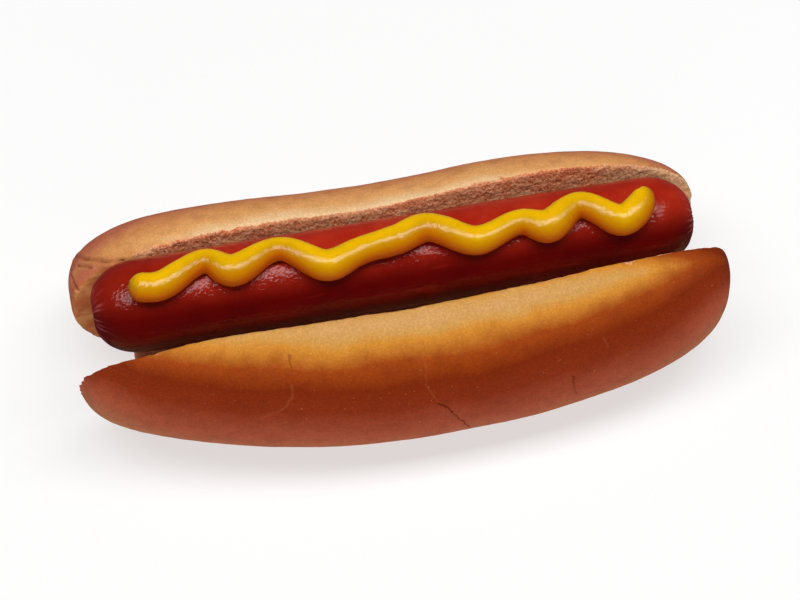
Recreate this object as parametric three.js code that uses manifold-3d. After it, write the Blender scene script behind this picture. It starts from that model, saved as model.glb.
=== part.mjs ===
import * as THREE from 'three';
import Module from 'manifold-3d';

// A hot dog: an opened soft bun holding one frankfurter with a wavy line of mustard.
// Millimetres. +X runs along the bun, +Y goes to its higher far side, +Z is up.
// The bun is one loaf, split along its length and opened about its uncut underside.

const wasm = await Module();
wasm.setup();

// Frankfurter: a straight link whose axis lies a little askew in the bun
const sausageLength = 152;
const sausageRadius = 11.5;
const sausageCapLength = 13;
const sausageCapRoundness = 2.3;
const sausageDimpleDepth = 1.1;
const sausageDimpleRadius = 2.4;
const sausageTurn = -0.011;
const sausageFall = -0.029;
const sausageAlong = 0.8;
const sausageAside = -0.7;
const sausageSeat = 0.1;
const sausageRings = 15;
const sausageSides = 40;

// Loaf before it is split
const loafHalfWidth = 24.4;
const loafHalfHeight = 21;
const loafMiddle = 0.8;
const loafSectionRoundness = 2.2;
const loafPlanRoundness = 2.85;
const loafRings = 38;
const loafSides = 28;

// Knife cut: its distance from the loaf's middle plane drifts from one side to the other
const knifeMiddle = 1.6;
const knifeDrift = 5.4;
const knifeBend = -51;
const knifeReach = 33;
const knifeSteps = 26;
const blockSize = 100;

// The two halves, leant apart. away and rise place the middle of the cut face from the
// sausage, lean is the angle from upright, depth is the reach of the loaf below that middle,
// reach is half the length. splay bends the left tip outward, bow the middle. tilt lowers one
// end of the lip and sag its middle. The roundness values shape the ends as seen square to the
// cut face.
const nearHalf = {
  lean: 14.4, away: 12.4, rise: -13.2, depth: 20.8, reach: 82.5, splay: 1.7, bow: 1.7,
  tilt: -0.008, sag: 1.4, sagReach: 45,
  topLeft: 8, topRight: 6.8, bottomLeft: 2.85, bottomRight: 2.85,
};
const farHalf = {
  lean: 16.5, away: 13.1, rise: -10.7, depth: 26.4, reach: 80.7, splay: 0.3, bow: 0,
  tilt: -0.009, sag: 3.2, sagReach: 29,
  topLeft: 3.3, topRight: 2.7, bottomLeft: 2.05, bottomRight: 3.8,
};
const splayStart = -40;
const splayReach = 40;
const bowMiddle = 12;
const bowReach = 41;

// Uncut underside that joins the halves and carries the sausage
const keelHalfLength = 70;
const keelHalfWidth = 22;
const keelTop = -7;
const keelBottom = -39.4;
const keelMiddle = 3.5;
const keelRoundness = 2.6;
const restDepth = 0.9;

const breadGap = 0.3;

// Mustard: the crests and dips of its line, as the place along the sausage, the place
// across its top and half the width of the bead, up to the drawn-out tip at the right
const mustardRoute = [
  [-66.5, -1.9, 3.6], [-58.8, -2.8, 3.7], [-47.1, 1.2, 3.2], [-41.2, -2.1, 4], [-28.9, 1.3, 3.1],
  [-18.4, -4.2, 3.9], [-9.4, -2.2, 3.4], [-0.3, -1.2, 3.8], [7.5, 0.5, 3.7], [18.8, -4.1, 3.7],
  [30.5, -1.6, 3.2], [36.9, -3.6, 4.2], [45.8, 0, 3.4], [55.3, -4.8, 3.9], [61.2, -2.1, 3.7],
  [62.5, 1.2, 1.2],
];
const mustardSeat = 0.55;
const mustardHeight = 0.88;
const mustardTipLift = 1.6;
const mustardTipReach = 5;
const mustardRings = 94;
const mustardSides = 14;

const crustColour = 0xc07a3c;
const sausageColour = 0x8e1a10;
const mustardColour = 0xe0a800;
const crustRoughness = 0.7;
const sausageRoughness = 0.25;
const mustardRoughness = 0.3;

// Closed skin over rings of points, each ring turning from +Y to +Z as seen from +X
function skin(rings) {
  const sides = rings[0].length;
  const points = rings.flat();
  const faces = [];
  for (let i = 0; i + 1 < rings.length; i += 1) {
    for (let j = 0; j < sides; j += 1) {
      const a = i * sides + j;
      const b = i * sides + (j + 1) % sides;
      faces.push(a, b, a + sides, b, b + sides, a + sides);
    }
  }
  const lastRing = (rings.length - 1) * sides;
  const first = points.length;
  const last = first + 1;
  points.push(centreOf(rings[0]), centreOf(rings[rings.length - 1]));
  for (let j = 0; j < sides; j += 1) {
    const next = (j + 1) % sides;
    faces.push(first, next, j, last, lastRing + j, lastRing + next);
  }
  return solidOf(points, faces);
}

function centreOf(ring) {
  const sum = new THREE.Vector3();
  for (const p of ring) sum.add(p);
  return sum.divideScalar(ring.length);
}

function solidOf(points, faces) {
  return new wasm.Manifold(new wasm.Mesh({
    numProp: 3,
    vertProperties: new Float32Array(points.flatMap((p) => [p.x, p.y, p.z])),
    triVerts: new Uint32Array(faces),
  }));
}

// Share of the full size left at u of the way from the middle to the end
function rounded(u, roundness) {
  return (1 - Math.min(Math.abs(u), 1) ** roundness) ** (1 / roundness);
}

// Point on a ring with separate reaches up and down
function sectionPoint(angle, roundness) {
  const power = 2 / roundness;
  const c = Math.cos(angle);
  const s = Math.sin(angle);
  return [Math.sign(c) * Math.abs(c) ** power, Math.sign(s) * Math.abs(s) ** power];
}

// Positions from one end to the other, closer together towards both ends
function spread(count, reach) {
  const places = [];
  for (let i = 0; i < count; i += 1) {
    places.push(reach * Math.sin(Math.PI * ((i + 0.5) / count - 0.5)));
  }
  return places;
}

// Distance of the knife cut from the loaf's middle plane
function knifeAt(x) {
  return knifeMiddle - knifeDrift * Math.tanh((x - knifeBend) / knifeReach);
}

// The whole loaf, with +Y up along the cut face and +Z towards the near side
function loaf(half) {
  const rings = spread(loafRings, half.reach).map((along) => {
    const u = along / half.reach;
    const left = along < 0;
    const up = loafHalfHeight * rounded(u, left ? half.topLeft : half.topRight);
    const down = half.depth * rounded(u, left ? half.bottomLeft : half.bottomRight);
    const out = loafHalfWidth * rounded(u, loafPlanRoundness);
    const ring = [];
    for (let j = 0; j < loafSides; j += 1) {
      const [c, s] = sectionPoint((2 * Math.PI * j) / loafSides, loafSectionRoundness);
      ring.push(new THREE.Vector3(loafMiddle + along, c * (c > 0 ? up : down), s * out));
    }
    return ring;
  });
  return skin(rings);
}

// Block that fills the near side of the knife cut
function knifeBlock() {
  const shape = new THREE.Shape();
  shape.moveTo(blockSize, blockSize);
  shape.lineTo(-blockSize, blockSize);
  for (let i = 0; i <= knifeSteps; i += 1) {
    const x = blockSize * ((2 * i) / knifeSteps - 1);
    shape.lineTo(x, knifeAt(x));
  }
  const geometry = new THREE.ExtrudeGeometry(shape, { depth: 2 * blockSize, bevelEnabled: false });
  geometry.translate(0, 0, -blockSize);
  geometry.rotateX(Math.PI / 2);
  return solidFrom(geometry);
}

// Solid from an unindexed geometry, its corners welded
function solidFrom(geometry) {
  const places = new Map();
  const points = [];
  const faces = [];
  const position = geometry.getAttribute('position');
  for (let i = 0; i < position.count; i += 1) {
    const p = new THREE.Vector3().fromBufferAttribute(position, i);
    const key = p.toArray().map((value) => value.toFixed(5)).join();
    if (!places.has(key)) {
      places.set(key, points.length);
      points.push(p);
    }
    faces.push(places.get(key));
  }
  return solidOf(points, faces);
}

// Moves every corner of a solid
function warped(solid, move) {
  const mesh = solid.getMesh();
  const points = [];
  for (let i = 0; i < mesh.vertProperties.length; i += mesh.numProp) {
    points.push(move(...mesh.vertProperties.slice(i, i + 3)));
  }
  return solidOf(points, [...mesh.triVerts]);
}

// Leans one half about the underside and sets it beside the sausage. side is -1 for the
// near half and 1 for the far one.
function leaned(solid, half, side) {
  const lean = THREE.MathUtils.degToRad(half.lean);
  return warped(solid, (x, t, o) => {
    const bend = Math.max((splayStart - x) / splayReach, 0) ** 2;
    const bow = half.bow * Math.exp(-(((x - bowMiddle) / bowReach) ** 2));
    const out = -side * (o - knifeAt(x)) + half.away + half.splay * bend + bow;
    const top = Math.max(t, 0) / loafHalfHeight;
    const sag = half.sag * Math.exp(-((x / half.sagReach) ** 2)) + half.tilt * x;
    const up = t + half.rise - sag * top;
    return new THREE.Vector3(
      x,
      side * (up * Math.sin(lean) + out * Math.cos(lean)),
      up * Math.cos(lean) - out * Math.sin(lean),
    );
  });
}

function keel() {
  const height = (keelTop - keelBottom) / 2;
  const rings = spread(loafRings, keelHalfLength).map((along) => {
    const share = rounded(along / keelHalfLength, keelRoundness);
    const ring = [];
    for (let j = 0; j < loafSides; j += 1) {
      const [c, s] = sectionPoint((2 * Math.PI * j) / loafSides, keelRoundness);
      const y = c * share * keelHalfWidth;
      const z = keelBottom + height + s * share * height;
      ring.push(new THREE.Vector3(keelMiddle + along, y, z));
    }
    return ring;
  });
  return skin(rings);
}

const axis = new THREE.Vector3(1, sausageTurn, sausageFall).normalize();
const across = new THREE.Vector3(0, 0, 1).cross(axis).normalize();
const above = new THREE.Vector3().crossVectors(axis, across);

// Point beside the sausage's axis, at a distance from it and an angle from its top
function besideSausage(along, distance, angle) {
  return new THREE.Vector3(sausageAlong, sausageAside, sausageSeat)
    .addScaledVector(axis, along)
    .addScaledVector(across, distance * Math.sin(angle))
    .addScaledVector(above, distance * Math.cos(angle));
}

// The sausage, or with a margin the room that it takes up
function sausage(margin) {
  const barrel = sausageLength / 2 - sausageCapLength;
  const power = 2 / sausageCapRoundness;
  const profile = [];
  for (let i = 0; i < sausageRings; i += 1) {
    const angle = (Math.PI / 2) * (1 - (i + 0.5) / sausageRings);
    const radius = sausageRadius * Math.cos(angle) ** power + margin;
    const dimple = sausageDimpleDepth * Math.exp(-((radius / sausageDimpleRadius) ** 2));
    const end = barrel + (sausageCapLength + margin) * Math.sin(angle) ** power - dimple;
    profile.push([end, radius]);
  }
  const places = [
    ...profile.map(([end, radius]) => [-end, radius]),
    [0, sausageRadius + margin],
    ...profile.reverse(),
  ];
  return skin(places.map(([along, radius]) => {
    const ring = [];
    for (let j = 0; j < sausageSides; j += 1) {
      ring.push(besideSausage(along, radius, Math.PI / 2 - (2 * Math.PI * j) / sausageSides));
    }
    return ring;
  }));
}

// Bead laid along the route, its ends rounded and its last point lifted off
function mustard() {
  const route = new THREE.CatmullRomCurve3(mustardRoute.map((stop) => new THREE.Vector3(...stop)));
  const total = route.getLength();
  const startWidth = mustardRoute[0][2];
  const rings = [];
  for (let i = 0; i < mustardRings; i += 1) {
    const t = (i + 0.5) / mustardRings;
    const stop = route.getPointAt(t);
    const drawn = Math.min((t * total) / startWidth, 1);
    const half = stop.z * Math.sqrt(1 - (1 - drawn) ** 2);
    const toTip = Math.min((1 - t) * total / mustardTipReach, 1);
    const lift = mustardTipLift * (1 - toTip) ** 2;
    const seat = sausageRadius + breadGap + mustardSeat * half + lift;
    const angle = stop.y / sausageRadius;
    const middle = besideSausage(stop.x, seat, angle);
    const up = besideSausage(stop.x, seat + 1, angle).sub(middle);
    const heading = route.getTangentAt(t);
    const sideways = besideSausage(0, 1, angle + Math.PI / 2).sub(besideSausage(0, 0, 0));
    const forward = axis.clone().multiplyScalar(heading.x).addScaledVector(sideways, heading.y);
    const beside = new THREE.Vector3().crossVectors(up, forward.normalize());
    const ring = [];
    for (let j = 0; j < mustardSides; j += 1) {
      const turn = (2 * Math.PI * j) / mustardSides;
      ring.push(middle.clone()
        .addScaledVector(beside, half * Math.cos(turn))
        .addScaledVector(up, mustardHeight * half * Math.sin(turn)));
    }
    rings.push(ring);
  }
  return skin(rings).subtract(sausage(breadGap));
}

// Bun: both halves and the underside joined, hollowed for the sausage, with a flat to rest on
function bun() {
  const block = knifeBlock();
  const near = leaned(loaf(nearHalf).intersect(block), nearHalf, -1);
  const far = leaned(loaf(farHalf).subtract(block), farHalf, 1);
  const whole = near.add(far).add(keel()).subtract(sausage(breadGap));
  return whole.trimByPlane([0, 0, 1], keelBottom + restDepth);
}

function meshOf(name, solid, colour, roughness) {
  const { vertProperties, triVerts } = solid.getMesh();
  const geometry = new THREE.BufferGeometry();
  geometry.setAttribute('position', new THREE.BufferAttribute(new Float32Array(vertProperties), 3));
  geometry.setIndex(new THREE.BufferAttribute(new Uint32Array(triVerts), 1));
  geometry.computeVertexNormals();
  const mesh = new THREE.Mesh(geometry, new THREE.MeshStandardMaterial({ color: colour, roughness }));
  mesh.name = name;
  return mesh;
}

const hotDog = new THREE.Group();
hotDog.add(
  meshOf('bun', bun(), crustColour, crustRoughness),
  meshOf('sausage', sausage(0), sausageColour, sausageRoughness),
  meshOf('mustard', mustard(), mustardColour, mustardRoughness),
);

// The origin is the middle of the underside of the whole
const room = new THREE.Box3().setFromObject(hotDog);
const middle = room.getCenter(new THREE.Vector3());
for (const mesh of hotDog.children) mesh.geometry.translate(-middle.x, -middle.y, -room.min.z);

export default hotDog;
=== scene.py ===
import math

import bmesh
import bpy
import numpy as np
from mathutils import Matrix, Vector, noise
from mathutils.kdtree import KDTree


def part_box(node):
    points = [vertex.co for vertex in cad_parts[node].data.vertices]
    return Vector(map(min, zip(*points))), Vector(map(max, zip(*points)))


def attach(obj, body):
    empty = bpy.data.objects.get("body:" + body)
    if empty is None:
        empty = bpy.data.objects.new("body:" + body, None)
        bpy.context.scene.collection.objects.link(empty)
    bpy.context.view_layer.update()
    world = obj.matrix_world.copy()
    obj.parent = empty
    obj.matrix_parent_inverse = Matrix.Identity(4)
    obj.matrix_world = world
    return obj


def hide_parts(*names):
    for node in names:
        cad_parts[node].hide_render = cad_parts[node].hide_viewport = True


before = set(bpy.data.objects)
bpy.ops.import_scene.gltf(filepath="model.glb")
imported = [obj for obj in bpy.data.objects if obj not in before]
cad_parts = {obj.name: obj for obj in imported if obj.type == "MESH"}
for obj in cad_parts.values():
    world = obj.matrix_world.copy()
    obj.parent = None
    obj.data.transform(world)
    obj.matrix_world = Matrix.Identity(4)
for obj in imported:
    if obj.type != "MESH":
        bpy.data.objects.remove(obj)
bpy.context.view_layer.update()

# A hot dog dressed over its CAD frame. Shapes are worked out in millimetres about a datum on
# the sausage's axis, and the frame says where that datum is.

MM = 0.001

# Sausage
SAUSAGE_LENGTH = 152.0
SAUSAGE_RADIUS = 11.5
SAUSAGE_CAP = 13.0
SAUSAGE_CAP_ROUNDNESS = 2.3
SAUSAGE_DIMPLE_DEPTH = 1.1
SAUSAGE_DIMPLE_RADIUS = 2.4
SAUSAGE_TURN = -0.011
SAUSAGE_FALL = -0.029
SAUSAGE_MIDDLE = np.array([0.8, -0.7, 0.1])
SAUSAGE_RINGS = 420
SAUSAGE_SIDES = 216
PUCKER_FOLDS = 34
PUCKER_DEPTH = 0.09
PUCKER_START = 7.0
PUCKER_REACH = 17.0
SAUSAGE_LUMP_DEPTH = 0.16
SAUSAGE_LUMP_SIZE = 16.0
SAUSAGE_DENT_DEPTH = 0.05
SAUSAGE_DENT_SIZE = 3.5

# Loaf before it is split
LOAF_HALF_WIDTH = 24.4
LOAF_HALF_HEIGHT = 21.0
LOAF_MIDDLE = 0.8
LOAF_SECTION_ROUNDNESS = 2.2
LOAF_PLAN_ROUNDNESS = 2.85
LOAF_RINGS = 260
LOAF_SIDES = 220

# Knife cut, drifting from one side of the loaf's middle to the other
KNIFE_MIDDLE = 1.6
KNIFE_DRIFT = 5.4
KNIFE_BEND = -51.0
KNIFE_REACH = 33.0

# The two halves, as seen square to their cut faces and as they lean apart
NEAR = dict(
    side=-1, lean=14.4, away=12.4, rise=-13.2, depth=20.8, reach=82.5, splay=1.7, bow=1.7,
    tilt=-0.008, sag=1.4, sag_reach=45.0, crust_start=-0.3,
    top_left=8.0, top_right=6.8, bottom_left=2.85, bottom_right=2.85,
)
FAR = dict(
    side=1, lean=16.5, away=13.1, rise=-10.7, depth=26.4, reach=80.7, splay=0.3, bow=0.0,
    tilt=-0.009, sag=3.2, sag_reach=29.0, crust_start=0.25,
    top_left=3.3, top_right=2.7, bottom_left=2.05, bottom_right=3.8,
)
SPLAY_START = -40.0
SPLAY_REACH = 40.0
BOW_MIDDLE = 12.0
BOW_REACH = 41.0

# Uncut underside
KEEL_HALF_LENGTH = 70.0
KEEL_HALF_WIDTH = 22.0
KEEL_TOP = -7.0
KEEL_BOTTOM = -39.4
KEEL_MIDDLE = 3.5
KEEL_ROUNDNESS = 2.6
REST_DEPTH = 0.9

# Bread, its mesh and the small relief of its crust and crumb
BREAD_GAP = 0.3
BREAD_VOXEL = 0.8
BROAD_DEPTH = 0.28
BROAD_SIZE = 24.0
GRAIN_DEPTH = 0.05
GRAIN_SIZE = 2.5
CRUMB_DEPTH = 0.16
CRUMB_SIZE = 2.2
PIT_DEPTH = 0.2
PIT_SIZE = 2.6
ROUGH_END_DEPTH = 0.3
ROUGH_END_PLACES = (58, 72)

# Where the crust ends: its level in the loaf, how much of each tip it closes over, and how it
# fades and frays at the cut
CRUST_LEVELS = (0.955, 0.985)
CRUST_OUTER_LEVEL = 1.05
CUT_SLACK = 0.7
TIP_START = 3.5
TIP_FULL = 1.5
CRUST_FADE = 0.45
FRAY_REACH = 0.15
FRAY_SIZE = 1.8

# Torn lips of the cut, the angle round the crust that they stay within and the chips in them
LIP_WIDTH = 1.3
LIP_LEVELS = (0.86, 0.97)
LIP_ANGLE = 60
FINE_CHIP_SIZE = 1.7
FINE_CHIP_DEPTH = 0.15
COARSE_CHIP_SIZE = 7.0
COARSE_CHIP_DEPTH = 0.9
COARSE_CHIP_START = 0.18
CHIP_BARE = (0.15, 0.6)

# Crust of the uncut underside and of its end faces, and skin wrapped over the left end of the
# far half, as the places or heights where each begins and is complete
UNDERSIDE_HEIGHTS = (-30, -35)
END_FACE_OUTWARD = (0.25, 0.5)
END_FACE_PLACES = (60, 64)
END_FACE_HEIGHTS = (-12, -18)
WRAP_PLACES = (-58, -66)
WRAP_SIDE = (-1, 3)
PALE_END_PLACES = (52, 74)

# Colour round the crust: the degrees that it runs over, what the underside counts as, and how
# much browner both ends are
COLOUR_DEGREES = 120
MOST_DEGREES = 110
UNDERSIDE_DEGREES = 100.0
BROWNING_REACH = 50
BROWNING = 0.05
FAR_LEFT_BROWNING = 0.10
TIP_BROWNING = 0.11
TIP_BROWNING_PLACES = (60, 80)

# How cracks are laid on the rolled-out crust and refined, and the raised banks beside them
ARC_PER_DEGREE = 0.42
CRACK_REFINE_REACH = 1.6
CRACK_WOBBLE = 0.5
CRACK_WOBBLE_SIZE = 2.6
CRACK_BANK_HEIGHT = 0.25
CRACK_BANK_PLACE = 2.2
SCAR_WIDTH = 1.3
CREASE_BANK_HEIGHT = 0.4
CREASE_BANK_PLACE = 2.5
CREASE_BANK_WIDTH = 1.4
# Painted shade along the creases
CREASE_SHADE = 0.55
CREASE_SHADE_WIDTH = 0.8

# Cracks in the crust of the near half: half width and depth in millimetres, how dark the groove
# is painted as shade, how pale, and the places it runs through as millimetres along and degrees round
# from the top
CRACKS = (
    (0.13, 0.50, 0.8, 0.0, ((4.3, 52.8), (7.0, 62.8), (10.0, 79.3), (12.0, 92.0))),
    (0.14, 0.10, 0.0, 0.13, ((1.5, 5.2), (1.6, 14.7), (2.1, 27.5), (1.5, 37.8), (4.3, 52.8))),
    (0.12, 0.35, 0.5, 0.0, ((38.2, 55.9), (38.2, 64.6), (38.8, 76.8))),
    (0.14, 0.12, 0.0, 0.13, ((46.5, 33.0), (47.1, 37.1), (47.4, 41.1))),
    (0.20, 0.30, 0.5, 0.0, ((-29.8, 11.7), (-30.0, 15.7), (-29.9, 19.3))),
    (0.20, 0.12, 0.0, 0.13, ((-30.7, 29.9), (-30.9, 38.1), (-32.7, 44.6), (-39.2, 55.8))),
)

# Creases where the far half closes at its left end, as half width, depth and the places in
# millimetres about the datum that each runs through
CREASES = (
    (0.42, 0.60, ((-76.6, 24.0, -9.0), (-74.3, 19.7, -3.9), (-69.2, 15.5, -0.2), (-65.0, 13.6, 1.6))),
    (0.36, 0.45, ((-76.4, 19.1, -5.4), (-73.1, 15.7, -2.1))),
    (0.42, 0.55, ((-78.4, 17.7, -7.5), (-78.2, 15.0, -6.5), (-77.5, 12.3, -5.7))),
)

# Mustard: place along the sausage, place across its top, half the width of the bead
MUSTARD_ROUTE = (
    (-66.5, -1.9, 3.6), (-58.8, -2.8, 3.7), (-47.1, 1.2, 3.2), (-41.2, -2.1, 4.0),
    (-28.9, 1.3, 3.1), (-18.4, -4.2, 3.9), (-9.4, -2.2, 3.4), (-0.3, -1.2, 3.8),
    (7.5, 0.5, 3.7), (18.8, -4.1, 3.7), (30.5, -1.6, 3.2), (36.9, -3.6, 4.2),
    (45.8, 0.0, 3.4), (55.3, -4.8, 3.9), (60.4, -2.6, 3.8), (62.2, -0.2, 2.8), (62.8, 1.5, 1.0),
)
MUSTARD_SEAT = 0.55
MUSTARD_HEIGHT = 0.88
MUSTARD_TIP_LIFT = 1.6
MUSTARD_TIP_REACH = 5.0
MUSTARD_RINGS = 400
MUSTARD_SIDES = 48
MUSTARD_VOXEL = 0.24
MUSTARD_RELAX_ROUNDS = 4
COIL_REACH = 3
ROUND_STRETCH = 0.16
RIPPLE_LENGTH = 1.1
RIPPLE_DEPTH = 0.035
BEAD_LUMP_LENGTH = 6.0
BEAD_LUMP_DEPTH = 0.14

# Surfaces of the materials, with bumps in millimetres
CRUST_ROUGHNESS = 0.54
CRUMB_ROUGHNESS = 0.88
CRUST_BUMP = 0.15
CRUMB_BUMP = 0.22
PORE_SIZE = 1.1
MOTTLE_SIZE = 4.5
SPECK_SIZES = ((1.5, 0.12, 0.30), (3.4, 0.07, 0.45))
SKIN_ROUGHNESS = 0.45
SKIN_BUMP = 0.1
SKIN_COAT = 0.65
SKIN_COAT_ROUGHNESS = 0.05
SKIN_COAT_BUMP = 0.26
SKIN_DARK_PLACES = (-72, -40)
MUSTARD_ROUGHNESS = 0.34
MUSTARD_BUMP = 0.1
MUSTARD_COAT = 0.5
MUSTARD_COAT_ROUGHNESS = 0.09
MUSTARD_COAT_BUMP = 0.24

# How much the top and the far side of the sausage and of the bead count towards their
# lighter colours: painted light on the top and far side, painted shade below and on the near side
SKIN_PAINTED_LIGHT_SIDE = 0.5
SKIN_PAINTED_LIGHT_TOP = 0.85
MUSTARD_PAINTED_LIGHT_SIDE = 0.125
MUSTARD_PAINTED_LIGHT_TOP = 0.21
MUSTARD_PAINTED_LIGHT_START = 0.22

# Camera, as the photograph was taken
PHOTO_WIDTH = 800
SENSOR_WIDTH = 36.0
CAMERA_ELEVATION = 60.0
CAMERA_YAW = 12.4
CAMERA_DISTANCE = 650.0
PIXELS_PER_MM = 4.03
AIM_RIGHT = 2.1
AIM_UP = -9.4

# Studio: a soft box overhead, a weak low one in front and a pale floor that glows a little,
# in metres and watts
TOP_ELEVATION = 90.0
TOP_DISTANCE = 0.8
TOP_WIDTH = 1.2
TOP_DEPTH = 0.28
TOP_POWER = 8.9
FILL_ELEVATION = 12.0
FILL_DISTANCE = 1.2
FILL_WIDTH = 0.9
FILL_DEPTH = 0.4
FILL_POWER = 3.4
WORLD_GLOW = 0.05
FLOOR_REACH = 1.6
FLOOR_COLOUR = (0.35, 0.35, 0.35, 1)
FLOOR_GLOW = 0.62

sausage_low, sausage_high = (np.array(corner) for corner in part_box("sausage"))
DATUM = (sausage_low + sausage_high) / 2 - SAUSAGE_MIDDLE * MM


# Shapes shared by the pieces

def rounded(u, roundness):
    """Share of the full size left at u of the way from the middle to the end."""
    return (1 - np.clip(np.abs(u), 0, 1) ** roundness) ** (1 / roundness)


def smooth(low, high, value):
    """0 below low, 1 above high and smooth between them."""
    share = np.clip((value - low) / (high - low), 0, 1)
    return share * share * (3 - 2 * share)


def signed_power(value, power):
    return np.sign(value) * np.abs(value) ** power


def spread(count, reach):
    """Positions from one end to the other, closer together towards both ends."""
    return reach * np.sin(np.pi * ((np.arange(count) + 0.5) / count - 0.5))


def fractal(points, size, octaves=3, seed=0.0):
    """Smooth noise about 0 at every point, with bumps about the given size."""
    offset = Vector((seed, seed * 1.7, seed * 0.6))
    return np.array([
        noise.fractal(Vector(point) / size + offset, 1.0, 2.1, octaves)
        for point in points.tolist()
    ])


def cells(points, size, seed=0.0):
    """Distance to the middle of the nearest cell, in shares of a cell's size."""
    offset = Vector((seed, seed * 1.3, seed * 0.8))
    return np.array([
        noise.voronoi(Vector(point) / size + offset)[0][0] for point in points.tolist()
    ])


def along_only(values, size, octaves=3, seed=0.0):
    """Noise that only changes along one direction."""
    line = np.zeros((len(values), 3))
    line[:, 0] = values
    line[:, 1] = seed
    return fractal(line, size, octaves, seed)


def skin(rings):
    """Closed mesh over an array of rings, as (points, faces)."""
    count, sides = rings.shape[:2]
    points = np.concatenate([rings.reshape(-1, 3), [rings[0].mean(0), rings[-1].mean(0)]])
    first, last = count * sides, count * sides + 1
    corner = np.arange(count * sides).reshape(count, sides)
    after = np.roll(corner, -1, axis=1)
    quads = np.stack([corner[:-1], after[:-1], after[1:], corner[1:]], axis=-1)
    start = np.stack([np.full(sides, first), after[0], corner[0]], axis=-1)
    end = np.stack([np.full(sides, last), corner[-1], after[-1]], axis=-1)
    faces = quads.reshape(-1, 4).tolist() + start.tolist() + end.tolist()
    return points, faces


def new_object(name, points, faces, material=None):
    """Smooth-shaded object from points in millimetres about the datum."""
    mesh = bpy.data.meshes.new(name)
    mesh.from_pydata((DATUM + points * MM).tolist(), [], faces)
    return shown(name, mesh, material)


def shown(name, mesh, material=None):
    mesh.polygons.foreach_set("use_smooth", np.ones(len(mesh.polygons), bool))
    mesh.update()
    made = bpy.data.objects.new(name, mesh)
    bpy.context.scene.collection.objects.link(made)
    if material:
        mesh.materials.append(material)
    return made


def points_of(mesh):
    values = np.empty(len(mesh.vertices) * 3)
    mesh.vertices.foreach_get("co", values)
    return (values.reshape(-1, 3) - DATUM) / MM


def set_points(mesh, points):
    mesh.vertices.foreach_set("co", (DATUM + points * MM).ravel())
    mesh.update()


def normals_of(mesh):
    values = np.empty(len(mesh.vertices) * 3)
    mesh.vertex_normals.foreach_get("vector", values)
    return values.reshape(-1, 3)


def set_value(mesh, name, values):
    layer = mesh.attributes.new(name, "FLOAT", "POINT")
    layer.data.foreach_set("value", np.asarray(values, np.float32))


def set_vector(mesh, name, values):
    layer = mesh.attributes.new(name, "FLOAT_VECTOR", "POINT")
    layer.data.foreach_set("vector", np.asarray(values, np.float32).ravel())


def relaxed(mesh, points, share, rounds):
    """Points drawn towards the middle of their neighbours by a share that may differ."""
    edges = np.empty(len(mesh.edges) * 2, np.int32)
    mesh.edges.foreach_get("vertices", edges)
    one, other = edges.reshape(-1, 2).T
    ends = np.concatenate([one, other])
    partners = np.concatenate([other, one])
    count = np.bincount(ends, minlength=len(points))[:, None]
    for _ in range(rounds):
        total = np.stack([
            np.bincount(ends, points[partners, i], minlength=len(points)) for i in range(3)
        ], axis=1)
        points = points + share * (total / np.maximum(count, 1) - points)
    return points


def fused(name, shells, voxel):
    """One mesh round overlapping closed shells."""
    points, faces = [], []
    for shell_points, shell_faces in shells:
        start = sum(len(part) for part in points)
        points.append(shell_points)
        faces += [[start + corner for corner in face] for face in shell_faces]
    rough = new_object(name + "_rough", np.concatenate(points), faces)
    remesh = rough.modifiers.new("fuse", "REMESH")
    remesh.mode = "VOXEL"
    remesh.voxel_size = voxel * MM
    graph = bpy.context.evaluated_depsgraph_get()
    mesh = bpy.data.meshes.new_from_object(rough.evaluated_get(graph))
    rough_mesh = rough.data
    bpy.data.objects.remove(rough)
    bpy.data.meshes.remove(rough_mesh)
    mesh.name = name
    return mesh


def nearest_of(places, points):
    """For every point, the number of the nearest place."""
    tree = KDTree(len(places))
    for i, place in enumerate(places.tolist()):
        tree.insert(place, i)
    tree.balance()
    return np.array([tree.find(point)[1] for point in points.tolist()])


# Sausage

AXIS = np.array([1.0, SAUSAGE_TURN, SAUSAGE_FALL])
AXIS /= np.linalg.norm(AXIS)
ACROSS = np.cross([0.0, 0.0, 1.0], AXIS)
ACROSS /= np.linalg.norm(ACROSS)
ABOVE = np.cross(AXIS, ACROSS)


def beside_sausage(along, distance, angle):
    """Points at a distance from the sausage's axis and an angle from its top."""
    along, distance, angle = (np.asarray(value)[..., None] for value in (along, distance, angle))
    turned = np.sin(angle) * ACROSS + np.cos(angle) * ABOVE
    return SAUSAGE_MIDDLE + along * AXIS + distance * turned


def pushed_off_sausage(points):
    """Points inside the sausage's room moved straight out to its edge."""
    local = points - SAUSAGE_MIDDLE
    along = local @ AXIS
    distance = np.hypot(local @ ACROSS, local @ ABOVE)
    barrel = SAUSAGE_LENGTH / 2 - SAUSAGE_CAP
    share = np.clip((np.abs(along) - barrel) / (SAUSAGE_CAP + BREAD_GAP), 0, 1)
    limit = SAUSAGE_RADIUS * rounded(share, SAUSAGE_CAP_ROUNDNESS) + BREAD_GAP
    inside = (np.abs(along) < SAUSAGE_LENGTH / 2 + BREAD_GAP) & (distance < limit)
    on_axis = SAUSAGE_MIDDLE + along[:, None] * AXIS
    grown = np.maximum(limit / np.maximum(distance, 1e-3), 1)[:, None]
    return np.where(inside[:, None], on_axis + (points - on_axis) * grown, points)


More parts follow.
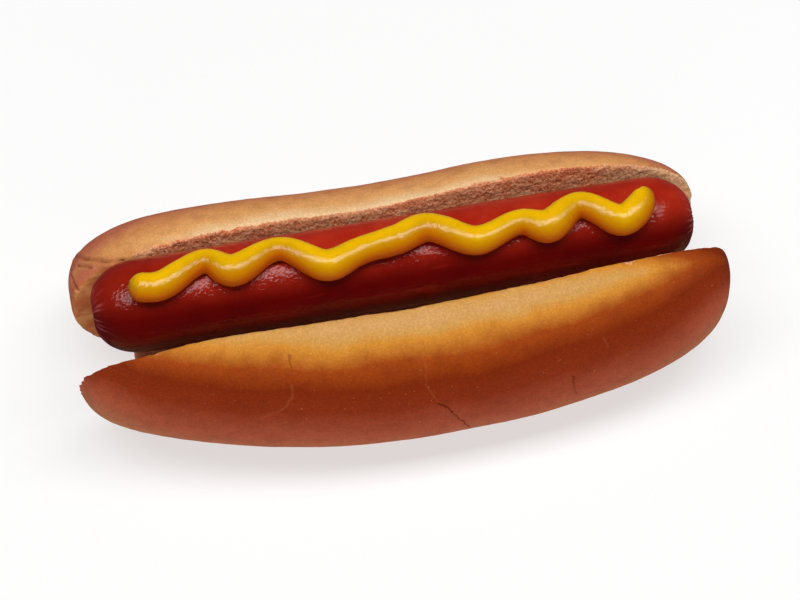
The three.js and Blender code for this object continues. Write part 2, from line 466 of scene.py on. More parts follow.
def sausage_profile():
    """Places along the sausage and its radius there, dense over the rounded ends."""
    count = SAUSAGE_RINGS // 4
    angle = math.pi / 2 * (1 - (np.arange(count) + 0.5) / count)
    power = 2 / SAUSAGE_CAP_ROUNDNESS
    radius = SAUSAGE_RADIUS * np.cos(angle) ** power
    dimple = SAUSAGE_DIMPLE_DEPTH * np.exp(-(radius / SAUSAGE_DIMPLE_RADIUS) ** 2)
    barrel = SAUSAGE_LENGTH / 2 - SAUSAGE_CAP
    end = barrel + SAUSAGE_CAP * np.sin(angle) ** power - dimple
    middle = np.linspace(-barrel, barrel, SAUSAGE_RINGS // 2 + 2)[1:-1]
    along = np.concatenate([-end, middle, end[::-1]])
    return along, np.concatenate([radius, np.full(len(middle), SAUSAGE_RADIUS), radius[::-1]])


def make_sausage(material):
    along, radius = sausage_profile()
    turn = math.pi / 2 - 2 * math.pi * np.arange(SAUSAGE_SIDES) / SAUSAGE_SIDES
    rings = beside_sausage(along[:, None], radius[:, None], turn[None, :])
    points, faces = skin(rings)
    made = new_object("frankfurter", points, faces, material)
    mesh = made.data

    turns = np.append(np.tile(turn, len(along)), [0, 0])
    places = np.append(np.repeat(along, SAUSAGE_SIDES), [along[0], along[-1]])
    radii = np.append(np.repeat(radius, SAUSAGE_SIDES), [0, 0])
    from_tip = SAUSAGE_LENGTH / 2 - np.abs(places) + radii
    end = np.sign(places)
    close = (1 - smooth(PUCKER_START, PUCKER_REACH, from_tip)) * smooth(0.6, 3.0, radii)
    ring = np.stack([4 * np.cos(turns), 4 * np.sin(turns), 5 * end + from_tip / 9], axis=1)
    folds = np.sin(PUCKER_FOLDS * turns + 3.5 * fractal(ring, 2.4, 2, 1.0))
    pucker = close * (folds - 0.5 * folds ** 2 + 1.1 * fractal(ring, 0.8, 2, 4.0))
    lumps = SAUSAGE_LUMP_DEPTH * fractal(points, SAUSAGE_LUMP_SIZE, 2, 2.0)
    dents = SAUSAGE_DENT_DEPTH * fractal(points, SAUSAGE_DENT_SIZE, 2, 3.0)
    relief = lumps + dents + PUCKER_DEPTH * pucker
    set_points(mesh, points + normals_of(mesh) * relief[:, None])
    # The pucker mask also carries a painted highlight along the fold ridges
    set_value(mesh, "pucker", smooth(0.1, 0.8, pucker) * close)
    set_vector(mesh, "skin_place", np.stack([
        places, SAUSAGE_RADIUS * np.cos(turns), SAUSAGE_RADIUS * np.sin(turns)], axis=1))
    return made


# Mustard

def curve_through(stops, count):
    """Evenly spaced points along a centripetal curve through the stops, the distance to each
    and the whole length."""
    stops = np.array(stops, float)
    stops = np.vstack([2 * stops[0] - stops[1], stops, 2 * stops[-1] - stops[-2]])
    fine = []
    for a, b, c, d in zip(stops, stops[1:], stops[2:], stops[3:]):
        steps = [np.linalg.norm(q - p) ** 0.5 for p, q in ((a, b), (b, c), (c, d))]
        knots = np.cumsum([0.0] + steps)
        t = np.linspace(knots[1], knots[2], 40, endpoint=False)[:, None]

        def between(p, q, low, high):
            return (high - t) / (high - low) * p + (t - low) / (high - low) * q

        first = between(a, b, knots[0], knots[1])
        second = between(b, c, knots[1], knots[2])
        third = between(c, d, knots[2], knots[3])
        early = between(first, second, knots[0], knots[2])
        late = between(second, third, knots[1], knots[3])
        fine.append(between(early, late, knots[1], knots[2]))
    fine = np.vstack(fine + [stops[-2:-1]])
    steps = np.linalg.norm(np.diff(fine, axis=0), axis=1)
    run = np.concatenate([[0.0], np.cumsum(steps)])
    places = run[-1] * (np.arange(count) + 0.5) / count
    spots = np.stack([np.interp(places, run, fine[:, i]) for i in range(3)], axis=1)
    return spots, places, run[-1]


def make_mustard(material):
    stops, places, total = curve_through(MUSTARD_ROUTE, MUSTARD_RINGS)
    drawn = np.clip(places / MUSTARD_ROUTE[0][2], 0, 1)
    half = stops[:, 2] * np.sqrt(1 - (1 - drawn) ** 2)
    to_tip = np.clip((total - places) / MUSTARD_TIP_REACH, 0, 1)
    seat = SAUSAGE_RADIUS + BREAD_GAP + MUSTARD_SEAT * half + MUSTARD_TIP_LIFT * (1 - to_tip) ** 2
    angle = stops[:, 1] / SAUSAGE_RADIUS
    middle = beside_sausage(stops[:, 0], seat, angle)
    up = np.sin(angle)[:, None] * ACROSS + np.cos(angle)[:, None] * ABOVE
    sideways = np.cos(angle)[:, None] * ACROSS - np.sin(angle)[:, None] * ABOVE
    heading = np.gradient(stops, axis=0)
    forward = heading[:, :1] * AXIS + heading[:, 1:2] * sideways
    forward /= np.linalg.norm(forward, axis=1)[:, None]
    beside = np.cross(up, forward)
    turn = 2 * math.pi * np.arange(MUSTARD_SIDES) / MUSTARD_SIDES
    wide = np.cos(turn)[None, :, None] * beside[:, None]
    high = MUSTARD_HEIGHT * np.sin(turn)[None, :, None] * up[:, None]
    shell = skin(middle[:, None] + half[:, None, None] * (wide + high))
    mesh = fused("mustard_bead", [shell], MUSTARD_VOXEL)
    points = relaxed(mesh, points_of(mesh), 0.5, MUSTARD_RELAX_ROUNDS)
    set_points(mesh, points)

    nearest = nearest_of(middle, points)
    offset = (points - middle[nearest]) / np.maximum(half[nearest], 0.4)[:, None]
    run = places[nearest] + np.sum((points - middle[nearest]) * forward[nearest], axis=1)
    coil = np.stack([
        run,
        COIL_REACH * np.sum(offset * beside[nearest], axis=1),
        COIL_REACH * np.sum(offset * up[nearest], axis=1),
    ], axis=1)
    stretched = coil * [1, ROUND_STRETCH, ROUND_STRETCH]
    ripple = RIPPLE_DEPTH * fractal(stretched, RIPPLE_LENGTH, 2, 5.0)
    lumps = BEAD_LUMP_DEPTH * fractal(stretched * [1, 2.5, 2.5], BEAD_LUMP_LENGTH, 2, 6.0)
    points = points + normals_of(mesh) * (ripple + lumps)[:, None]
    set_points(mesh, pushed_off_sausage(points))
    set_vector(mesh, "bead_place", coil)
    return shown("mustard_bead", mesh, material)


# Bun

def knife_at(x):
    return KNIFE_MIDDLE - KNIFE_DRIFT * np.tanh((x - KNIFE_BEND) / KNIFE_REACH)


def loaf_reach(half, x):
    """Reach of the loaf up, down and out at a place along it."""
    u = (x - LOAF_MIDDLE) / half["reach"]
    up = LOAF_HALF_HEIGHT * rounded(u, np.where(u < 0, half["top_left"], half["top_right"]))
    down = half["depth"] * rounded(u, np.where(u < 0, half["bottom_left"], half["bottom_right"]))
    return up, down, LOAF_HALF_WIDTH * rounded(u, LOAF_PLAN_ROUNDNESS)


def shift_at(half, x):
    """How far a half is bent outward at a place along it."""
    splay = half["splay"] * np.maximum((SPLAY_START - x) / SPLAY_REACH, 0) ** 2
    return splay + half["bow"] * np.exp(-((x - BOW_MIDDLE) / BOW_REACH) ** 2)


def sag_at(half, x):
    return half["sag"] * np.exp(-(x / half["sag_reach"]) ** 2) + half["tilt"] * x


def half_rings(half):
    """One leant half, the part of the loaf beyond the knife squeezed onto the cut face."""
    x = LOAF_MIDDLE + spread(LOAF_RINGS, half["reach"])[:, None]
    angle = 2 * math.pi * np.arange(LOAF_SIDES)[None, :] / LOAF_SIDES
    power = 2 / LOAF_SECTION_ROUNDNESS
    c, s = signed_power(np.cos(angle), power), signed_power(np.sin(angle), power)
    up, down, width = loaf_reach(half, x)
    t = c * np.where(c > 0, up, down)
    side = half["side"]
    beyond = np.maximum(-side * (s * width - knife_at(x)), 0)
    out = beyond + half["away"] + shift_at(half, x)
    rise = t + half["rise"] - sag_at(half, x) * np.maximum(t, 0) / LOAF_HALF_HEIGHT
    lean = math.radians(half["lean"])
    return np.stack([
        x + 0 * t,
        side * (rise * math.sin(lean) + out * math.cos(lean)),
        rise * math.cos(lean) - out * math.sin(lean),
    ], axis=-1)


def keel_rings():
    along = spread(LOAF_RINGS, KEEL_HALF_LENGTH)[:, None]
    share = rounded(along / KEEL_HALF_LENGTH, KEEL_ROUNDNESS)
    angle = 2 * math.pi * np.arange(LOAF_SIDES)[None, :] / LOAF_SIDES
    power = 2 / KEEL_ROUNDNESS
    c, s = signed_power(np.cos(angle), power), signed_power(np.sin(angle), power)
    height = (KEEL_TOP - KEEL_BOTTOM) / 2
    return np.stack([
        KEEL_MIDDLE + along + 0 * c,
        c * share * KEEL_HALF_WIDTH,
        KEEL_BOTTOM + height + s * share * height,
    ], axis=-1)


def bread_place(half, points):
    """Where points lie in a half of the loaf: distance beyond its cut, level, which is 1 on
    the crust, and degrees round the crust from the top, positive towards the near side."""
    x, y, z = points.T
    lean = math.radians(half["lean"])
    side = half["side"]
    rise = side * y * math.sin(lean) + z * math.cos(lean) - half["rise"]
    out = side * y * math.cos(lean) - z * math.sin(lean)
    beyond = out - half["away"] - shift_at(half, x)
    t = np.where(rise > 0, rise / (1 - sag_at(half, x) / LOAF_HALF_HEIGHT), rise)
    up, down, width = (np.maximum(reach, 0.5) for reach in loaf_reach(half, x))
    high = t / np.where(t > 0, up, down)
    wide = (knife_at(x) - side * beyond) / width
    level = (np.abs(high) ** LOAF_SECTION_ROUNDNESS
             + np.abs(wide) ** LOAF_SECTION_ROUNDNESS) ** (1 / LOAF_SECTION_ROUNDNESS)
    angle = np.degrees(np.arctan2(
        signed_power(wide, LOAF_SECTION_ROUNDNESS / 2),
        signed_power(high, LOAF_SECTION_ROUNDNESS / 2)))
    return beyond, level, angle


def distance_to_line(points, line):
    """Distance of every point from a line through places, on a plane or in space."""
    best = np.full(len(points), 1e3)
    for start, end in zip(line, line[1:]):
        step = end - start
        share = np.clip((points - start) @ step / (step @ step), 0, 1)
        best = np.minimum(best, np.linalg.norm(points - start - share[:, None] * step, axis=1))
    return best


def crack_distances(points):
    """The distance of every point from each crack, measured on the rolled-out crust."""
    beyond, level, angle = bread_place(NEAR, points)
    rolled = np.stack([points[:, 0], angle * ARC_PER_DEGREE], axis=1)
    wobble = [fractal(points, CRACK_WOBBLE_SIZE, 2, seed) for seed in (11.0, 12.0)]
    rolled += CRACK_WOBBLE * np.stack(wobble, axis=1)
    on_crust = (beyond > -0.5) & (np.abs(level - 1) < 0.12)
    scale = np.array([1.0, ARC_PER_DEGREE])
    return [
        np.where(on_crust, distance_to_line(rolled, np.array(line) * scale), 1e3)
        for *_, line in CRACKS
    ]


def crease_distances(points):
    """The distance of every point from each crease, laid onto the bread."""
    return [
        distance_to_line(points, points[nearest_of(points, np.array(line))])
        for *_, line in CREASES
    ]


def refine(mesh, chosen, rounds):
    """Splits the faces between chosen vertices and closes those that this leaves folded."""
    work = bmesh.new()
    work.from_mesh(mesh)
    work.verts.ensure_lookup_table()
    picked = {work.verts[i] for i in np.flatnonzero(chosen)}
    for _ in range(rounds):
        edges = [e for e in work.edges if e.verts[0] in picked and e.verts[1] in picked]
        made = bmesh.ops.subdivide_edges(work, edges=edges, cuts=1, use_grid_fill=True)
        picked |= {part for part in made["geom_inner"] if isinstance(part, bmesh.types.BMVert)}
    folded = [vert for vert in work.verts if len(vert.link_faces) == 2]
    onto = {vert: vert.link_edges[0].other_vert(vert) for vert in folded}
    bmesh.ops.weld_verts(work, targetmap=onto)
    work.to_mesh(mesh)
    work.free()
    mesh.update()


def lip_chips(x, seed):
    """How far the torn edge of the crust falls short at places along it."""
    fine = along_only(x, FINE_CHIP_SIZE, 3, seed)
    coarse = along_only(x, COARSE_CHIP_SIZE, 2, seed + 3)
    chips = COARSE_CHIP_DEPTH * np.maximum(coarse - COARSE_CHIP_START, 0) * (1 + fine)
    return FINE_CHIP_DEPTH * np.maximum(fine, 0) + chips


def browning(x, far):
    """How much browner the crust is at places along it, in shares of its way round."""
    slope = np.where((far > 0.5) & (x < 0), FAR_LEFT_BROWNING, BROWNING)
    tips = TIP_BROWNING * smooth(*TIP_BROWNING_PLACES, np.abs(x))
    return slope * (x / BROWNING_REACH) ** 2 + tips


def crust_of_halves(points):
    """The share of crust at every point, degrees round it, which half it is on, how bare the
    chips in the lips are, and the move that tears the lips."""
    x, y = points.T[:2]
    count = len(points)
    crust, far, bare = np.zeros(count), np.zeros(count), np.zeros(count)
    degrees = np.full(count, UNDERSIDE_DEGREES)
    tear = np.zeros((count, 3))
    fray = FRAY_REACH * fractal(points, FRAY_SIZE, 2, 8.0)
    for half in (NEAR, FAR):
        beyond, level, angle = bread_place(half, points)
        from_middle = np.abs(x - LOAF_MIDDLE)
        tip = smooth(half["reach"] - TIP_START, half["reach"] - TIP_FULL, from_middle)
        same_side = y * half["side"] > 0
        in_loaf = (level < CRUST_OUTER_LEVEL) | ((tip > 0) & same_side)
        inside = (beyond > -CUT_SLACK) & in_loaf
        outside = np.maximum(smooth(*CRUST_LEVELS, level), tip)
        start = half["crust_start"]
        past_cut = smooth(start, start + CRUST_FADE, beyond + fray)
        crust = np.where(inside, np.maximum(outside * past_cut, crust), crust)
        on_crust = inside & (level > 0.9)
        degrees = np.where(on_crust, np.minimum(np.abs(angle), MOST_DEGREES), degrees)
        far = np.where(on_crust | (y > 0), half is FAR, far)

        lip = np.exp(-(beyond / LIP_WIDTH) ** 2) * smooth(*LIP_LEVELS, level)
        lip = np.where(inside & (np.abs(angle) < LIP_ANGLE), lip, 0)
        short = lip_chips(x, 20.0 + half["side"])
        lean = math.radians(half["lean"])
        tear -= (lip * short)[:, None] * [0, half["side"] * math.sin(lean), math.cos(lean)]
        bare = np.maximum(bare, lip * smooth(*CHIP_BARE, short))
    return crust, degrees, far, bare, tear


def cracks_and_creases(points):
    """How deep cracks and creases sink at every point, how dark their grooves are painted as shade,
    and how pale they are.
    """
    sunk, dark, pale = (np.zeros(len(points)) for _ in range(3))
    for away, (width, depth, groove_shade_strength, paleness, _) in zip(crack_distances(points), CRACKS):
        groove = np.exp(-(away / width) ** 2)
        banks = np.exp(-((away - CRACK_BANK_PLACE * width) / width) ** 2)
        sunk += depth * (groove - CRACK_BANK_HEIGHT * banks)
        dark = np.maximum(dark, groove_shade_strength * groove)
        pale = np.maximum(pale, paleness * np.exp(-(away / (SCAR_WIDTH * width)) ** 2))
    for away, (width, depth, _) in zip(crease_distances(points), CREASES):
        groove = np.exp(-(away / width) ** 2)
        bank_away = (away - CREASE_BANK_PLACE * width) / (CREASE_BANK_WIDTH * width)
        sunk += depth * (groove - CREASE_BANK_HEIGHT * np.exp(-bank_away ** 2))
        shadow = np.exp(-(away / (CREASE_SHADE_WIDTH * width)) ** 2)
        dark = np.maximum(dark, CREASE_SHADE * shadow)
    return sunk, dark, pale


def make_bun(material):
    shells = [skin(half_rings(NEAR)), skin(half_rings(FAR)), skin(keel_rings())]
    mesh = fused("bread", shells, BREAD_VOXEL)
    set_points(mesh, relaxed(mesh, points_of(mesh), 0.5, 2))
    points = points_of(mesh)
    close = np.minimum.reduce(crack_distances(points) + crease_distances(points))
    refine(mesh, close < CRACK_REFINE_REACH, 2)
    points = points_of(mesh)
    normals = normals_of(mesh)
    x, y, z = points.T

    crust, degrees, far, bare, tear = crust_of_halves(points)
    end_face = smooth(*END_FACE_OUTWARD, normals[:, 0] * np.sign(x))
    end_face *= smooth(*END_FACE_PLACES, np.abs(x)) * smooth(*END_FACE_HEIGHTS, z)
    low = np.maximum(smooth(*UNDERSIDE_HEIGHTS, z), end_face)
    wrapped = smooth(*WRAP_PLACES, x) * smooth(*WRAP_SIDE, y)
    crust = np.maximum.reduce([crust * (1 - 0.9 * bare), low, wrapped])
    set_value(mesh, "crust", crust)
    set_value(mesh, "turn", degrees / COLOUR_DEGREES + browning(x, far))
    set_value(mesh, "far", far)
    set_value(mesh, "ends", smooth(*PALE_END_PLACES, np.abs(x - LOAF_MIDDLE)))

    broad = BROAD_DEPTH * fractal(points, BROAD_SIZE, 2, 1.0)
    grain = GRAIN_DEPTH * fractal(points, GRAIN_SIZE, 3, 2.0)
    pits = PIT_DEPTH * smooth(0.35, 0.1, cells(points, PIT_SIZE, 4.0))
    crumb_depth = CRUMB_DEPTH + ROUGH_END_DEPTH * smooth(*ROUGH_END_PLACES, x)
    crumb = crumb_depth * fractal(points, CRUMB_SIZE, 4, 3.0) - pits
    sunk, dark, pale = cracks_and_creases(points)
    # Painted shade in the grooves of cracks and creases
    set_value(mesh, "groove_shade", dark)
    set_value(mesh, "scar", pale)

    relief = broad + crust * grain + (1 - crust) * (1 - low) * crumb - sunk
    points = pushed_off_sausage(points + normals * relief[:, None] + tear)
    points[:, 2] = np.maximum(points[:, 2], KEEL_BOTTOM + REST_DEPTH)
    set_points(mesh, points)
    beyond, level, _ = bread_place(FAR, points)
    off_crust = smooth(0.99, 0.93, level) * smooth(1.5, 0.3, beyond)
    set_value(mesh, "wrapped", wrapped * off_crust)
    return shown("bread", mesh, material)


# Materials

class Shader:
    """A material with short calls that add and link its nodes."""

    def __init__(self, name):
        self.material = bpy.data.materials.new(name)
        self.material.use_nodes = True
        self.tree = self.material.node_tree
        self.surface = self.tree.nodes["Principled BSDF"]
        self.place = None

    def add(self, kind, **settings):
        node = self.tree.nodes.new(kind)
        for key, value in settings.items():
            setattr(node, key, value)
        return node

    def feed(self, socket, source):
        if isinstance(source, bpy.types.NodeSocket):
            self.tree.links.new(source, socket)
        else:
            socket.default_value = source

    def set(self, **values):
        for key, value in values.items():
            self.feed(self.surface.inputs[key.replace("_", " ")], value)

    def value(self, name):
        return self.add("ShaderNodeAttribute", attribute_name=name).outputs["Fac"]

    def vector(self, name):
        return self.add("ShaderNodeAttribute", attribute_name=name).outputs["Vector"]

    def millimetres(self):
        """The place on the object in millimetres."""
        if self.place is None:
            scaled = self.add("ShaderNodeVectorMath", operation="SCALE")
            self.feed(scaled.inputs[0], self.add("ShaderNodeTexCoord").outputs["Object"])
            scaled.inputs["Scale"].default_value = 1 / MM
            self.place = scaled.outputs[0]
        return self.place

    def stretched(self, place, factors):
        node = self.add("ShaderNodeVectorMath", operation="MULTIPLY")
        self.feed(node.inputs[0], place)
        node.inputs[1].default_value = factors
        return node.outputs[0]

    def noise(self, size, detail=3.0, roughness=0.5, place=None):
        node = self.add("ShaderNodeTexNoise")
        self.feed(node.inputs["Vector"], place or self.millimetres())
        node.inputs["Scale"].default_value = 1 / size
        node.inputs["Detail"].default_value = detail
        node.inputs["Roughness"].default_value = roughness
        return node.outputs["Fac"]

    def cells(self, size, place=None):
        node = self.add("ShaderNodeTexVoronoi")
        self.feed(node.inputs["Vector"], place or self.millimetres())
        node.inputs["Scale"].default_value = 1 / size
        return node.outputs["Distance"]

    def part(self, source, axis):
        """One of the three values of a vector."""
        node = self.add("ShaderNodeSeparateXYZ")
        self.feed(node.inputs[0], source)
        return node.outputs[axis]

    def math(self, operation, first, second=0.0):
        node = self.add("ShaderNodeMath", operation=operation)
        self.feed(node.inputs[0], first)
        self.feed(node.inputs[1], second)
        return node.outputs[0]

    def span(self, source, low, high, start=0.0, end=1.0):
        node = self.add("ShaderNodeMapRange", interpolation_type="SMOOTHSTEP")
        self.feed(node.inputs["Value"], source)
        for key, value in (("From Min", low), ("From Max", high), ("To Min", start), ("To Max", end)):
            node.inputs[key].default_value = value
        return node.outputs[0]

    def ramp(self, source, *stops):
        node = self.add("ShaderNodeValToRGB")
        self.feed(node.inputs["Fac"], source)
        elements = node.color_ramp.elements
        while len(elements) < len(stops):
            elements.new(0.5)
        for element, (position, colour) in zip(elements, stops):
            element.position = position
            element.color = colour
        return node.outputs["Color"]

    def mix(self, factor, low, high, blend="MIX"):
        node = self.add("ShaderNodeMix", data_type="RGBA", blend_type=blend)
        for place, source in ((0, factor), (6, low), (7, high)):
            self.feed(node.inputs[place], source)
        return node.outputs[2]

    def bump(self, height, distance, strength=1.0, below=None):
        node = self.add("ShaderNodeBump")
        node.inputs["Strength"].default_value = strength
        node.inputs["Distance"].default_value = distance * MM
        self.feed(node.inputs["Height"], height)
        if below is not None:
            self.feed(node.inputs["Normal"], below)
        return node.outputs[0]


def shade(red, green, blue):
    """Linear colour of an 8-bit display colour."""
    parts = (red / 255, green / 255, blue / 255)
    linear = [((c + 0.055) / 1.055) ** 2.4 if c > 0.04 else c / 12.92 for c in parts]
    return (*linear, 1.0)


def bread_material():
    shader = Shader("bread")
    crust = crust_colour(shader)
    crumb = crumb_colour(shader)
    ragged = shader.span(shader.noise(PORE_SIZE, 3), 0.3, 0.7, -0.22, 0.22)
    share = shader.span(shader.math("ADD", shader.value("crust"), ragged), 0.35, 0.65)
    colour = shader.mix(share, crumb, crust)
    colour = shader.mix(shader.value("wrapped"), colour, wrapped_colour(shader))
    # Painted shade in the grooves of cracks and creases
    colour = shader.mix(shader.value("groove_shade"), colour, shade(92, 30, 14))
    smoother = shader.math("MULTIPLY", share, CRUST_ROUGHNESS - CRUMB_ROUGHNESS)
    rough = shader.math("ADD", smoother, CRUMB_ROUGHNESS)
    rough = shader.math("ADD", rough, shader.span(shader.noise(2.2, 3), 0.3, 0.7, -0.05, 0.08))
    fine = shader.noise(0.5, 4, 0.65)
    coarse = shader.math("MULTIPLY", shader.noise(2.0, 4, 0.6), 0.9)
    crust_bump = shader.math("MULTIPLY", shader.math("ADD", fine, coarse), share)
    crumb_height = shader.math("ADD", shader.cells(PORE_SIZE), shader.noise(0.6, 4, 0.7))
    crumb_bump = shader.math("MULTIPLY", crumb_height, shader.math("SUBTRACT", 1.0, share))
    crust_normal = shader.bump(crust_bump, CRUST_BUMP)
    normal = shader.bump(crumb_bump, CRUMB_BUMP, 1.0, crust_normal)
    shader.set(Base_Color=colour, Roughness=rough, Normal=normal, IOR=1.3, Specular_IOR_Level=0.2)
    shader.set(Subsurface_Weight=0.08, Subsurface_Scale=2.0 * MM)
    shader.set(Subsurface_Radius=(1.0, 0.35, 0.12))
    return shader.material


def crust_colour(shader):
    """Pale along the lips and browner round the sides, a little paler again underneath."""
    turn = shader.value("turn")
    turn = shader.math("ADD", turn, shader.span(shader.noise(18, 2), 0.3, 0.7, -0.016, 0.016))
    turn = shader.math("ADD", turn, shader.span(shader.noise(3.0, 4, 0.6), 0.3, 0.7, -0.007, 0.007))
    near = shader.ramp(
        turn,
        (0.0, shade(209, 158, 97)), (0.05, shade(205, 152, 78)), (0.09, shade(208, 137, 45)),
        (0.19, shade(160, 68, 10)), (0.31, shade(126, 40, 6)), (0.45, shade(140, 49, 18)),
        (0.66, shade(186, 88, 58)), (1.0, shade(196, 126, 86)))
    far = shader.ramp(
        turn,
        (0.0, shade(236, 200, 156)), (0.07, shade(236, 198, 150)), (0.14, shade(228, 166, 102)),
        (0.24, shade(214, 146, 86)), (0.40, shade(192, 110, 78)), (0.6, shade(180, 96, 66)),
        (1.0, shade(196, 126, 86)))
    crust = shader.mix(shader.value("far"), near, far)
    mottle = shader.span(shader.noise(MOTTLE_SIZE, 5, 0.65), 0.42, 0.70)
    mottle = shader.math("MULTIPLY", mottle, shader.span(turn, 0.06, 0.2, 0.04, 0.22))
    crust = shader.mix(mottle, crust, shade(112, 34, 8))
    grain = shader.span(shader.noise(0.6, 3, 0.7), 0.35, 0.7, 0.88, 1.1)
    crust = shader.mix(1.0, crust, grain, "MULTIPLY")
    for size, share, strength in SPECK_SIZES:
        crust = speckled(shader, crust, size, share, strength)
    return shader.mix(shader.value("scar"), crust, shade(206, 130, 76))


def speckled(shader, colour, size, share, strength):
    """Tiny pale specks scattered in patches."""
    specks = shader.span(shader.cells(size), share, 0.4 * share)
    patches = shader.span(shader.noise(3.2 * size, 3), 0.48, 0.62)
    specks = shader.math("MULTIPLY", shader.math("MULTIPLY", specks, patches), strength)
    return shader.mix(specks, colour, shade(226, 166, 112))


def wrapped_colour(shader):
    """Orange brown skin with pale streaks that closes the far half at its left end."""
    streaks = shader.noise(2.2, 4, 0.6, shader.stretched(shader.millimetres(), (0.35, 1, 0.6)))
    return shader.mix(shader.span(streaks, 0.36, 0.68), shade(184, 102, 58), shade(214, 148, 90))


def crumb_colour(shader):
    """Reddish brown crumb, its red partly a painted reflection of the sausage, with beige specks and
    pores darkened by painted shade, beige towards the ends.
    """
    tone = shader.span(shader.noise(0.6, 4, 0.75), 0.40, 0.62)
    # The red of this crumb is partly its own colour and partly a painted reflection of the sausage
    crumb_and_red_reflection = shader.mix(tone, shade(200, 102, 64), shade(240, 168, 122))
    pale = shader.mix(tone, shade(214, 150, 104), shade(240, 196, 152))
    patches = shader.span(shader.noise(5.0, 3, 0.6), 0.42, 0.6)
    crumb = shader.mix(shader.math("MULTIPLY", patches, 0.45), crumb_and_red_reflection, pale)
    crumb = shader.mix(shader.value("ends"), crumb, pale)
    # Darker pores are painted shade in the hollows
    pore_shade = shader.span(shader.cells(PORE_SIZE), 0.38, 0.1)
    return shader.mix(shader.math("MULTIPLY", pore_shade, 0.22), crumb, shade(130, 56, 28))


def sausage_material():
    shader = Shader("sausage_skin")
    place = shader.vector("skin_place")
    tone = shader.span(shader.noise(11, 3, 0.6, place), 0.3, 0.7)
    # Painted light and shade: lighter red on the lit top and far side, dark red on the shaded
    # underside
    below = shader.mix(tone, shade(76, 0, 0), shade(88, 1, 0))
    painted_light_colour = shader.mix(tone, shade(158, 28, 12), shade(176, 44, 22))
    height = shader.math("MULTIPLY", shader.part(place, "Y"), SKIN_PAINTED_LIGHT_TOP)
    side = shader.math("MULTIPLY", shader.part(place, "Z"), SKIN_PAINTED_LIGHT_SIDE)
    height = shader.math("ADD", height, side)
    colour = shader.mix(shader.span(height, 1.0, SAUSAGE_RADIUS), below, painted_light_colour)
    streaks = shader.noise(1.6, 4, 0.65, shader.stretched(place, (0.12, 1, 1)))
    streaks = shader.math("MULTIPLY", shader.span(streaks, 0.56, 0.75), 0.16)
    colour = shader.mix(streaks, colour, shade(186, 40, 26))
    darker = shader.span(shader.part(place, "X"), *SKIN_DARK_PLACES, 0.5, 0.0)
    colour = shader.mix(darker, colour, shade(92, 4, 2))
    # Pink along the fold ridges at the ends is a painted highlight
    ends = shader.math("MULTIPLY", shader.value("pucker"), 0.4)
    colour = shader.mix(ends, colour, shade(200, 96, 96))
    fine = shader.noise(0.95, 2, 0.5, place)
    relief = shader.math("ADD", fine, shader.math("MULTIPLY", shader.noise(2.6, 2, 0.5, place), 0.4))
    normal = shader.bump(relief, SKIN_BUMP)
    shader.set(Base_Color=colour, Roughness=SKIN_ROUGHNESS, Normal=normal)
    shader.set(Coat_Weight=SKIN_COAT, Coat_Roughness=SKIN_COAT_ROUGHNESS, Coat_IOR=1.42)
    shader.set(Coat_Normal=shader.bump(relief, SKIN_COAT_BUMP))
    shader.set(IOR=1.2, Specular_IOR_Level=0.1)
    shader.set(Subsurface_Weight=0.05, Subsurface_Scale=1.2 * MM)
    shader.set(Subsurface_Radius=(1.0, 0.1, 0.05))
    return shader.material


def mustard_material():
    shader = Shader("mustard")
    place = shader.vector("bead_place")
    tone = shader.span(shader.noise(4.0, 3, 0.6, place), 0.3, 0.7)
    # Painted light and shade: deep orange on the shaded near underside, bright yellow on the lit top
    # and far side
    height = shader.math("MULTIPLY", shader.part(place, "Z"), MUSTARD_PAINTED_LIGHT_TOP)
    side = shader.math("MULTIPLY", shader.part(place, "Y"), MUSTARD_PAINTED_LIGHT_SIDE)
    height = shader.math("ADD", height, side)
    height = shader.math("ADD", height, shader.math("MULTIPLY", tone, 0.06))
    height = shader.math("ADD", height, MUSTARD_PAINTED_LIGHT_START)
    colour = shader.ramp(
        height,
        (0.09, shade(176, 76, 0)), (0.40, shade(186, 112, 0)), (0.62, shade(192, 134, 0)),
        (0.77, shade(208, 156, 0)), (1.0, shade(240, 186, 0)))
    streaks = shader.noise(0.8, 2, 0.5, shader.stretched(place, (1, 0.35, 0.35)))
    grain = shader.noise(1.0, 2, 0.5)
    dark = shader.math("MULTIPLY", shader.span(shader.noise(0.6, 2, 0.5), 0.66, 0.74), 0.35)
    colour = shader.mix(dark, colour, shade(196, 120, 0))
    relief = shader.math("ADD", streaks, shader.math("MULTIPLY", grain, 0.5))
    normal = shader.bump(relief, MUSTARD_BUMP)
    shader.set(Base_Color=colour, Roughness=MUSTARD_ROUGHNESS, Normal=normal)
    shader.set(Coat_Weight=MUSTARD_COAT, Coat_Roughness=MUSTARD_COAT_ROUGHNESS)
    shader.set(Coat_Normal=shader.bump(relief, MUSTARD_COAT_BUMP))
    shader.set(IOR=1.3, Specular_IOR_Level=0.1)
    shader.set(Subsurface_Weight=0.2, Subsurface_Scale=1.5 * MM)
    shader.set(Subsurface_Radius=(1.0, 0.5, 0.04))
    return shader.material


# Scene

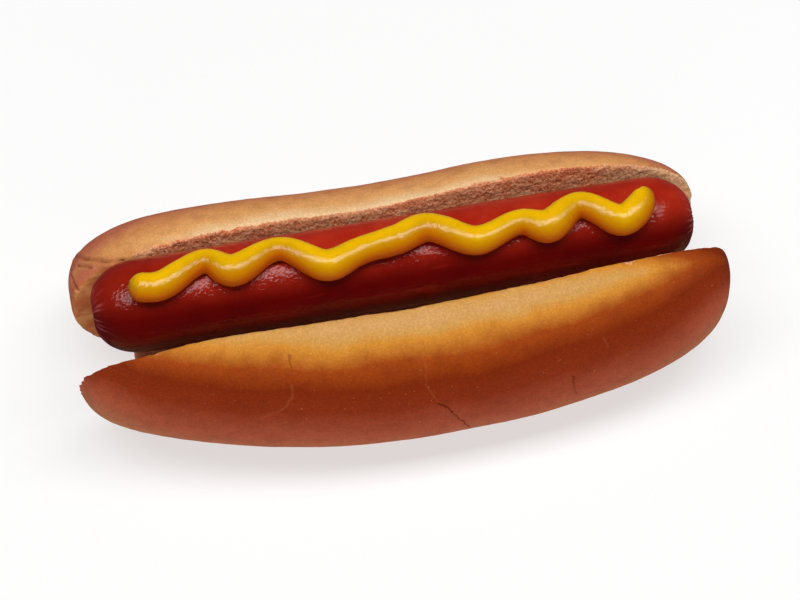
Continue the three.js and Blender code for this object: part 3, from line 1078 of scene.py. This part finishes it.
def place_camera():
    elevation, yaw = math.radians(CAMERA_ELEVATION), math.radians(CAMERA_YAW)
    flat = math.cos(elevation)
    back = Vector((-math.sin(yaw) * flat, -math.cos(yaw) * flat, math.sin(elevation)))
    right = Vector((math.cos(yaw), -math.sin(yaw), 0))
    up = back.cross(right)
    aim = Vector(DATUM) + (AIM_RIGHT * right + AIM_UP * up) * MM
    data = bpy.data.cameras.new("camera")
    data.sensor_width = SENSOR_WIDTH
    data.lens = PIXELS_PER_MM * CAMERA_DISTANCE / PHOTO_WIDTH * SENSOR_WIDTH
    data.clip_start = 0.01
    camera = bpy.data.objects.new("camera", data)
    bpy.context.scene.collection.objects.link(camera)
    turn = Matrix((right, up, back)).transposed().to_4x4()
    camera.matrix_world = Matrix.Translation(aim + back * CAMERA_DISTANCE * MM) @ turn
    bpy.context.scene.camera = camera


def place_floor():
    mesh = bpy.data.meshes.new("floor")
    corners = [(-1, -1, 0), (1, -1, 0), (1, 1, 0), (-1, 1, 0)]
    mesh.from_pydata((np.array(corners) * FLOOR_REACH).tolist(), [], [(0, 1, 2, 3)])
    floor = bpy.data.objects.new("floor", mesh)
    bpy.context.scene.collection.objects.link(floor)
    shader = Shader("floor")
    shader.set(Base_Color=FLOOR_COLOUR, Roughness=0.9, Specular_IOR_Level=0.0)
    shader.set(Emission_Color=(1, 1, 1, 1), Emission_Strength=FLOOR_GLOW)
    mesh.materials.append(shader.material)
    floor.visible_glossy = False


def area_light(name, elevation, distance, width, depth, power):
    """Soft box facing the object, its elevation measured from the near side."""
    data = bpy.data.lights.new(name, "AREA")
    data.shape = "RECTANGLE"
    data.size = width
    data.size_y = depth
    data.energy = power
    light = bpy.data.objects.new(name, data)
    bpy.context.scene.collection.objects.link(light)
    angle = math.radians(elevation)
    direction = Vector((0, -math.cos(angle), math.sin(angle)))
    place = Vector(DATUM) + direction * distance
    turn = direction.to_track_quat("Z", "Y").to_matrix().to_4x4()
    light.matrix_world = Matrix.Translation(place) @ turn
    return light


def place_lights():
    area_light("top_box", TOP_ELEVATION, TOP_DISTANCE, TOP_WIDTH, TOP_DEPTH, TOP_POWER)
    fill = area_light("fill", FILL_ELEVATION, FILL_DISTANCE, FILL_WIDTH, FILL_DEPTH, FILL_POWER)
    fill.visible_glossy = False
    world = bpy.data.worlds.new("studio")
    world.use_nodes = True
    background = world.node_tree.nodes["Background"]
    background.inputs["Color"].default_value = (1, 1, 1, 1)
    background.inputs["Strength"].default_value = WORLD_GLOW
    bpy.context.scene.world = world
    bpy.context.scene.view_settings.view_transform = "Standard"


bread = make_bun(bread_material())
frankfurter = make_sausage(sausage_material())
bead = make_mustard(mustard_material())
for piece, node in ((bread, "bun"), (frankfurter, "sausage"), (bead, "mustard")):
    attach(piece, "root")
    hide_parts(node)

place_camera()
place_floor()
place_lights()
